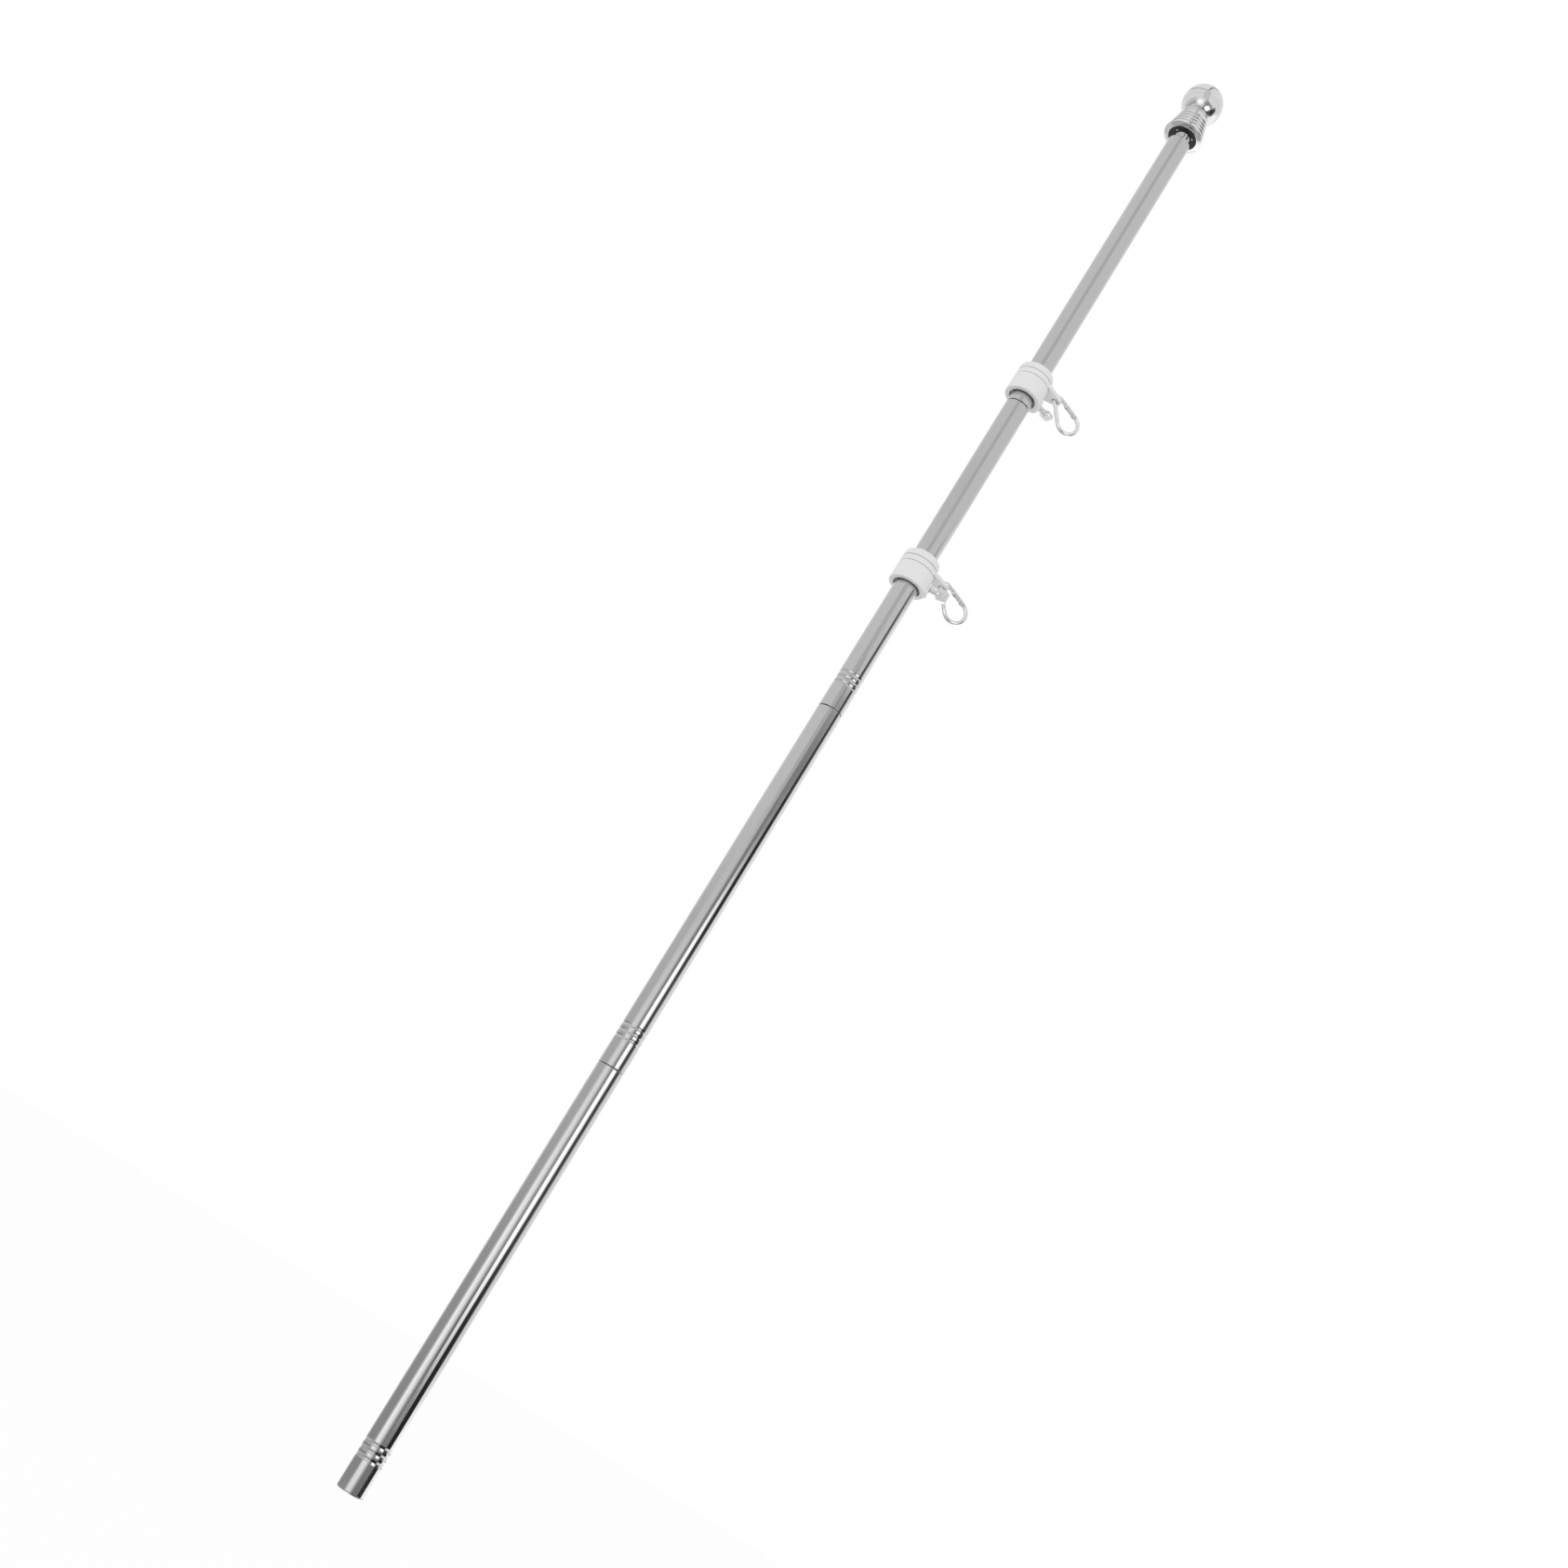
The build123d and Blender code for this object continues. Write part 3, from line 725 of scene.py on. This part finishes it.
# %% [markdown]
# Raised ribs on both faces of the head give the fingers a grip. Each rib is a bar with rounded
# ends, half sunk in the face, so it is again a turned shape, laid along the face. One head
# stands upright and the other lies level, because a screw stops wherever it is tight.

# %% Ribs of the thumb screws
RIB_DISTANCES = (34.5, 37.5, 40.5, 43.5)  # from the pole's axis
RIB_HALF_LENGTH = 5.6
RIB_RADIUS = 0.95
RIB_ARC = 75  # degrees of a rib's rounding, before its end closes flat
RIB_SEAT = 1.5  # from the middle of the head's thickness
RIBS_UPRIGHT = {"lower": True, "upper": False}

rounded_end = arc(0, RIB_HALF_LENGTH - RIB_RADIUS, RIB_RADIUS, 0, RIB_ARC, 4)
rounded_end += [(0, RIB_HALF_LENGTH)]
bar = [(r, -h) for r, h in reversed(rounded_end)] + rounded_end
for ring in RINGS:
    joint = joints[ring + "_screw_turn"]
    axis = Vector(joint["axis"])
    centre = Vector((0, 0, joint["pos_m"][2]))
    along = Vector((0, 0, 1))
    out = along.cross(axis)
    if not RIBS_UPRIGHT[ring]:
        along, out = out, along
    mesh = bmesh.new()
    for distance in RIB_DISTANCES:
        for face in (-1, 1):
            seat = centre + (axis * distance + out * face * RIB_SEAT) * MM
            turned(mesh, bar, stand(seat, along), columns=20)
    finished(ring + "_screw_ribs", mesh, bright_nickel, "hook_nickel", ring + "_screw")

# %% [markdown]
# The gate of a snap hook turns on a rivet whose ends are hammered into low domes. They stand
# just proud of the gate, so they catch a small highlight. The rivet's axis and middle are
# those of the gate's own joint.

# %% Rivets of the gates
RIVET_RADIUS = 1.0
RIVET_HEAD_RADIUS = 1.7
RIVET_HALF_LENGTH = 2.85
RIVET_DOME = 0.55
SHOULDER = 0.75  # share of the head's radius and of the dome's height where it rounds over

end = [(RIVET_RADIUS, RIVET_HALF_LENGTH), (RIVET_HEAD_RADIUS, RIVET_HALF_LENGTH)]
end += [(SHOULDER * RIVET_HEAD_RADIUS, RIVET_HALF_LENGTH + SHOULDER * RIVET_DOME)]
end += [(0, RIVET_HALF_LENGTH + RIVET_DOME)]
outline = [(r, -h) for r, h in reversed(end)] + end
for ring in RINGS:
    joint = joints[ring + "_gate_open"]
    mesh = bmesh.new()
    turned(mesh, outline, stand(joint["pos_m"], joint["axis"]), columns=32)
    hook, pin = ring + "_snap_hook", ring + "_gate_pin"
    finished(ring + "_rivet", mesh, bright_nickel, "hook_nickel", hook, pin)

# %% [markdown]
# A polished tube stands in a studio, and what we see on it is the studio. So the studio is
# built for reflections: a round grey wall and some cards that only glossy surfaces see. Lamps
# alone would leave a mirror black. Cycles would also sample every glowing face as a lamp, which
# only adds noise to the white plastic, so that is turned off.

# %% The glow of the cards
def glow_finish(name):
    """Emission whose strength is stored on the card's corners."""
    finish = bpy.data.materials.new(name)
    finish.use_nodes = True
    tree = finish.node_tree
    tree.nodes.clear()
    glow = add_node(tree, "ShaderNodeAttribute", attribute_name="glow")
    light = add_node(tree, "ShaderNodeEmission", {"Strength": glow.outputs["Fac"]})
    add_node(tree, "ShaderNodeOutputMaterial", {"Surface": light.outputs["Emission"]})
    finish.cycles.emission_sampling = "NONE"
    return finish


card_glow = glow_finish("card_glow")


def only_in_reflections(card):
    """Hides a card from everything except reflections."""
    card.visible_camera = False
    card.visible_diffuse = False
    card.visible_shadow = False
    card.visible_transmission = False
    card.visible_volume_scatter = False


tell(card_glow)

# %% [markdown]
# Each card is a strip that stands round the pole at some distance, and a few rows give its edges
# and its brightness at some heights. Planes could be stood up by hand, but a tube sees its
# studio by the angle round it, so a strip with a first and a last angle is easier to place. The
# brightness is stored on the card's corners and fades from row to row.

# %% A card
def add_card(name, radius, rows, columns=24):
    """A strip round the pole. Each row is (height, first angle, last angle, glow); angles run
    to the right from the pole's front. A fifth number is the row's own radius."""
    mesh = bmesh.new()
    glow = mesh.verts.layers.float.new("glow")
    lines = []
    for height, first, last, strength, *own_radius in rows:
        distance = own_radius[0] if own_radius else radius
        line = []
        for c in range(columns + 1):
            angle = radians(first + (last - first) * c / columns)
            corner = mesh.verts.new((distance * sin(angle), -distance * cos(angle), height))
            corner[glow] = strength
            line.append(corner)
        lines.append(line)
    for below, above in zip(lines, lines[1:]):
        for c in range(columns):
            mesh.faces.new((below[c], below[c + 1], above[c + 1], above[c]))
    data = bpy.data.meshes.new(name)
    mesh.to_mesh(data)
    mesh.free()
    card = bpy.data.objects.new(name, data)
    bpy.context.scene.collection.objects.link(card)
    dress(card, card_glow)
    only_in_reflections(card)


print("helper ready: add_card")

# %% [markdown]
# The wall goes all the way round. It is darker low down, where the lowest tube reflects it, and
# paler high up. A plain sky colour would light a mirror too, but is the same at every height.

# %% Studio wall
WALL_RADIUS = 3.0
WALL_FOOT = -1.6
WALL_TOP = 5.4

add_card("wall", WALL_RADIUS, [
    (WALL_FOOT, -180, 180, 0.66),
    (-0.40, -180, 180, 0.66),
    (-0.28, -180, 180, 0.36),
    (0.45, -180, 180, 0.48),
    (0.75, -180, 180, 0.60),
    (1.4, -180, 180, 0.66),
    (1.75, -180, 180, 0.82),
    (3.2, -180, 180, 0.80),
    (WALL_TOP, -180, 180, 0.82),
], columns=96)
print("a wall", 2 * WALL_RADIUS, "m across and", WALL_TOP - WALL_FOOT, "m high")

# %% [markdown]
# A mirror in a perfectly even room looks like flat grey. Lines where the boards of the room
# meet, two on the wall and one across the ceiling, give the upper tubes and the ball something
# to bend. The one across the ceiling is a straight band that passes nearly over the pole. A
# band keeps its width, so the nearer a row is to the middle, the wider its angle.

# %% Joints between the boards
PANEL_RADIUS = 2.96
CEILING_JOINT = ((2.9, 4), (1.5, 7.6), (0.5, 23), (0.15, 60))  # distance, half its angle

add_card("wall_joint", PANEL_RADIUS, [
    (2.74, -175, -23, 0.79),
    (2.84, -175, -23, 0.74),
    (3.00, -175, -23, 0.74),
    (3.10, -175, -23, 0.79),
])
add_card("wall_top_joint", PANEL_RADIUS, [
    (4.60, -130, -18, 0.81),
    (4.72, -130, -18, 0.35),
    (5.12, -130, -18, 0.35),
    (5.24, -130, -18, 0.81),
])
for name, angle in (("front", -12), ("back", 168)):
    add_card("ceiling_joint_" + name, PANEL_RADIUS, [
        (WALL_TOP - 0.04, angle - half, angle + half, 0.30, distance)
        for distance, half in CEILING_JOINT
    ])
print("4 cards for 3 joints")

# %% [markdown]
# A ceiling and a floor close the room for the ball, which sees nearly all of it. Both are plain
# discs, because a card's rows would all meet in one point there.

# %% Ceiling and floor of the room
for name, height, strength in (("ceiling", WALL_TOP, 0.84), ("studio_floor", WALL_FOOT, 0.45)):
    bpy.ops.mesh.primitive_circle_add(
        vertices=96, radius=WALL_RADIUS, fill_type="NGON", location=(0, 0, height)
    )
    lid = bpy.context.object
    lid.name = name
    shade = lid.data.attributes.new("glow", "FLOAT", "POINT")
    shade.data.foreach_set("value", [strength] * len(lid.data.vertices))
    dress(lid, card_glow)
    only_in_reflections(lid)
    print(name, len(lid.data.vertices), "corners")

# %% [markdown]
# Far to the left, half behind the pole, stand pale panels. On a tube they are squeezed into
# the pale rim along its left edge. A glow only fades from row to row, so where the rim changes
# sideways, a second card with its own rows stands beside the first.

# %% Pale panels behind on the left
add_card("pale_edge_left", PANEL_RADIUS - 0.02, [
    (WALL_FOOT, -182, -141, 0.64),
    (-0.4, -182, -141, 0.62),
    (-0.2, -182, -141, 0.60),
    (0.3, -182, -141, 0.84),
    (2.0, -182, -141, 0.90),
    (WALL_TOP, -182, -141, 0.84),
])
add_card("pale_fade_left", PANEL_RADIUS - 0.02, [
    (-0.3, -141, -128, 0.40),
    (0.0, -141, -128, 0.52),
    (0.5, -141, -128, 0.78),
    (2.0, -141, -128, 0.86),
    (WALL_TOP, -141, -128, 0.86),
])
print("2 pale panels behind on the left")

# %% [markdown]
# Nearer the front, a pale panel gives the left side of the tubes its even light grey, with one
# brighter band where a lamp strikes the panel. A dimmer panel nearly in front fills the middle
# of the tubes. One wide card could not have these steps in brightness side by side.

# %% Pale panels in front on the left
add_card("pale_panel", PANEL_RADIUS - 0.02, [
    (-1.3, -36, -5, 0.80),
    (-0.4, -38, -5, 0.95),
    (-0.2, -38, -5, 1.16),
    (0.5, -38, -4, 1.18),
    (0.95, -37, -3, 1.02),
    (1.4, -36, -2, 0.80),
    (1.8, -34, -2, 0.74),
])
add_card("panel_glare", PANEL_RADIUS - 0.04, [
    (-0.15, -37, -23, 1.45),
    (0.42, -37, -23, 1.45),
    (0.75, -37, -23, 1.20),
    (1.1, -36, -23, 0.95),
])
add_card("panel_edge", PANEL_RADIUS - 0.02, [
    (-0.3, -50, -38, 0.80),
    (0.9, -50, -38, 0.80),
    (1.6, -50, -38, 0.79),
])
add_card("panel_dim", PANEL_RADIUS, [
    (-0.3, -6, 16, 0.62),
    (1.4, -6, 16, 0.60),
    (2.0, -22, 14, 0.63),
    (3.2, -24, 8, 0.64),
    (WALL_TOP, -24, 6, 0.64),
])
print("4 pale panels in front on the left")

# %% [markdown]
# To the right stands a tall soft window that draws the white streak along the lower tubes.
# White only looks white beside something dark, so dark cards frame it. A brighter window would
# look no whiter. The first two are a dark foot below it and a dim gap on its left.

# %% Dark cards below and left of the window
WINDOW_RADIUS = 1.65

add_card("dark_foot", WINDOW_RADIUS, [
    (-1.50, 6, 58, 0.03),
    (-0.70, 6, 58, 0.03),
    (-0.40, 8, 58, 0.05),
    (-0.22, 9, 58, 0.22),
    (-0.02, 9, 58, 0.30),
    (0.10, 9, 27, 0.30),
])
add_card("dim_gap", WINDOW_RADIUS, [
    (-0.02, 8, 25, 0.22),
    (0.18, 8, 25, 0.18),
    (0.32, 9, 24, 0.40),
    (0.80, 8, 25, 0.38),
    (1.00, 8, 34, 0.30),
    (1.40, 8, 34, 0.32),
    (1.70, 9, 24, 0.50),
])
print("2 dark cards")

# %% [markdown]
# The window is brightest in the middle of its height and fades at both ends, as a soft box
# does. Above 1 m it narrows from the left, which thins the streak on the upper tubes. It stands
# a little nearer than the dark cards, so that it hides them where they overlap.

# %% Window
add_card("window", WINDOW_RADIUS - 0.02, [
    (-0.02, 27, 50, 0.42),
    (0.08, 25, 50, 0.80),
    (0.24, 24, 50, 1.45),
    (0.36, 23, 52, 1.75),
    (0.85, 24, 54, 1.75),
    (1.02, 30, 56, 1.60),
    (1.14, 33, 55, 0.90),
    (1.26, 32, 56, 0.40),
    (1.44, 28, 58, 0.30),
    (1.60, 28, 56, 0.50),
])
print("a window")

# %% [markdown]
# A flag is a dark card that keeps light off a piece. This one stands to the right of the window,
# and a still darker strip in front of it draws the black line beside the white streak. The
# strip could be a darker flag alone, but then the black would be as wide as the flag.

# %% Flag and black strip right of the window
add_card("dark_flag", WINDOW_RADIUS + 0.02, [
    (-0.30, 52, 98, 0.03),
    (-0.02, 53, 95, 0.03),
    (0.20, 53, 90, 0.05),
    (0.40, 56, 88, 0.22),
    (0.90, 58, 90, 0.24),
    (1.04, 58, 96, 0.12),
    (1.30, 58, 94, 0.13),
    (1.60, 60, 90, 0.30),
    (1.85, 62, 88, 0.34),
    (2.05, 64, 84, 0.70),
])
add_card("black_streak", WINDOW_RADIUS, [
    (-0.30, 58, 90, 0.03),
    (0.10, 59, 84, 0.03),
    (0.35, 65, 83, 0.06),
    (0.90, 66, 83, 0.08),
    (1.08, 64, 88, 0.04),
    (1.30, 64, 88, 0.04),
    (1.60, 66, 84, 0.08),
    (1.85, 69, 82, 0.10),
    (1.98, 72, 79, 0.40),
])
print("a flag and a black strip")

# %% [markdown]
# The far right side is white from the floor up. On the tubes it is squeezed into the pale rim
# along their right edge. The window can't draw that rim, because its reflection ends well
# before the edge.

# %% White side on the right
add_card("white_foot", PANEL_RADIUS, [
    (WALL_FOOT, 62, 98, 1.20),
    (-0.5, 62, 98, 1.20),
    (-0.3, 62, 98, 0.90),
])
add_card("white_side", PANEL_RADIUS, [
    (WALL_FOOT, 98, 182, 0.90),
    (-0.5, 98, 182, 1.30),
    (-0.1, 98, 182, 1.45),
    (0.1, 98, 182, 0.98),
    (0.9, 98, 182, 1.02),
    (1.5, 98, 182, 1.12),
    (2.6, 104, 182, 1.12),
    (2.9, 116, 182, 0.88),
    (WALL_TOP, 124, 182, 0.92),
])
print("2 white cards on the right")

# %% [markdown]
# The floor is plain white, as on a catalogue page. For the camera most of its brightness is
# its own, and the rest is real bounced light, so it keeps a faint shadow of the pole. More
# light would whiten it too, but it would bleach the rings first. From underneath, the floor
# lets the view through, so the pole's foot can be looked at too.

# %% Floor
FLOOR_WIDTH = 30.0
OWN_SHARE = 0.94

bpy.ops.mesh.primitive_plane_add(size=FLOOR_WIDTH, location=(0, 0, 0))
floor = bpy.context.object
floor.name = "floor"
floor.visible_glossy = False
pale_floor = bpy.data.materials.new("pale_floor")
pale_floor.use_nodes = True
tree = pale_floor.node_tree
tree.nodes.clear()
bounced = add_node(tree, "ShaderNodeBsdfDiffuse", {"Color": (0.9, 0.9, 0.9, 1)})
own_light = add_node(tree, "ShaderNodeEmission", {"Strength": 1.0})
rays = add_node(tree, "ShaderNodeLightPath")
share = spread(tree, rays.outputs["Is Camera Ray"], 0, 1, 0.0, OWN_SHARE)
mixed = add_node(tree, "ShaderNodeMixShader", {
    "Fac": share, 1: bounced.outputs["BSDF"], 2: own_light.outputs["Emission"]
})
side = add_node(tree, "ShaderNodeNewGeometry")
clear = add_node(tree, "ShaderNodeBsdfTransparent")
one_sided = add_node(tree, "ShaderNodeMixShader", {
    "Fac": side.outputs["Backfacing"], 1: mixed.outputs["Shader"], 2: clear.outputs["BSDF"]
})
add_node(tree, "ShaderNodeOutputMaterial", {"Surface": one_sided.outputs["Shader"]})
dress(floor, pale_floor)
print("floor", FLOOR_WIDTH, "m wide")

# %% [markdown]
# The sky behind is white too, but only where the camera or a reflection looks at it. On the
# object itself it shines a little less, so the white rings keep their shape. The Light Path
# node says which kind of ray is asking, so one background can answer each in its own way.

# %% Sky
SKY_ON_OBJECT = 0.80
SKY_SEEN = 1.0

sky = bpy.data.worlds.new("studio_sky")
sky.use_nodes = True
tree = sky.node_tree
tree.nodes.clear()
rays = add_node(tree, "ShaderNodeLightPath").outputs
mirrored = add_node(tree, "ShaderNodeMath", {
    0: rays["Is Glossy Ray"], 1: rays["Is Transmission Ray"]
}, operation="MAXIMUM").outputs["Value"]
seen = add_node(tree, "ShaderNodeMath", {
    0: rays["Is Camera Ray"], 1: mirrored
}, operation="MAXIMUM").outputs["Value"]
strength = spread(tree, seen, 0, 1, SKY_ON_OBJECT, SKY_SEEN)
background = add_node(tree, "ShaderNodeBackground", {"Color": (1, 1, 1, 1), "Strength": strength})
add_node(tree, "ShaderNodeOutputWorld", {"Surface": background.outputs["Background"]})
bpy.context.scene.world = sky
print("sky", SKY_ON_OBJECT, "on the object,", SKY_SEEN, "where it is seen")

# %% [markdown]
# A large soft lamp up and to the left of the camera gives the white rings their shape, and a
# weaker one from the right fills the far side. They are hidden from reflections, because the
# cards already give the metal its highlights.

# %% Lamps
def add_lamp(name, place, target, width, power):
    """A square soft lamp that shines from a place towards a target."""
    light = bpy.data.lights.new(name, "AREA")
    light.shape = "SQUARE"
    light.size = width
    light.energy = power
    lamp = bpy.data.objects.new(name, light)
    bpy.context.scene.collection.objects.link(lamp)
    lamp.location = place
    lamp.rotation_euler = (Vector(target) - Vector(place)).to_track_quat("-Z", "Y").to_euler()
    lamp.visible_glossy = False


add_lamp("key", (-1.6, -2.0, 2.6), (0, 0, 1.1), 1.2, 13)
add_lamp("fill", (2.2, -1.2, 1.4), (0, 0, 1.2), 1.4, 5)
bpy.context.scene.view_settings.view_transform = "Standard"
print("two soft lamps")

# %% [markdown]
# The camera stands low and close, looks up the pole, and is tilted sideways so that the pole
# leans across the picture from corner to corner. Rotating the pole instead would be wrong,
# because the pole belongs to the frame. The camera's turn is put together from three
# directions: the picture's right, the picture's up, and straight back.

# %% Camera
CAMERA_DISTANCE = 1.7497
CAMERA_HEIGHT = 0.1529
LOOKS_UP = radians(19.84)
LEANS = radians(31.57)
SENSOR = 36.0
LENS = 41.23
SHIFT_X = -0.0006  # the pole stands a hair to the right of the picture's middle
SHIFT_Y = 0.0004

ahead = Vector((0, cos(LOOKS_UP), sin(LOOKS_UP)))
above = Vector((0, -sin(LOOKS_UP), cos(LOOKS_UP)))
sideways = Vector((1, 0, 0))
picture_right = cos(LEANS) * sideways + sin(LEANS) * above
picture_up = -sin(LEANS) * sideways + cos(LEANS) * above
camera = bpy.data.objects.new("camera", bpy.data.cameras.new("camera"))
bpy.context.scene.collection.objects.link(camera)
turn = Matrix((picture_right, picture_up, -ahead)).transposed().to_4x4()
camera.matrix_world = Matrix.Translation((0, -CAMERA_DISTANCE, CAMERA_HEIGHT)) @ turn
camera.data.sensor_width = SENSOR
camera.data.lens = LENS
camera.data.shift_x = SHIFT_X
camera.data.shift_y = SHIFT_Y
camera.data.clip_start = 0.05
camera.data.clip_end = 60
bpy.context.scene.camera = camera
print("camera looks up", round(degrees(LOOKS_UP), 2), "degrees")
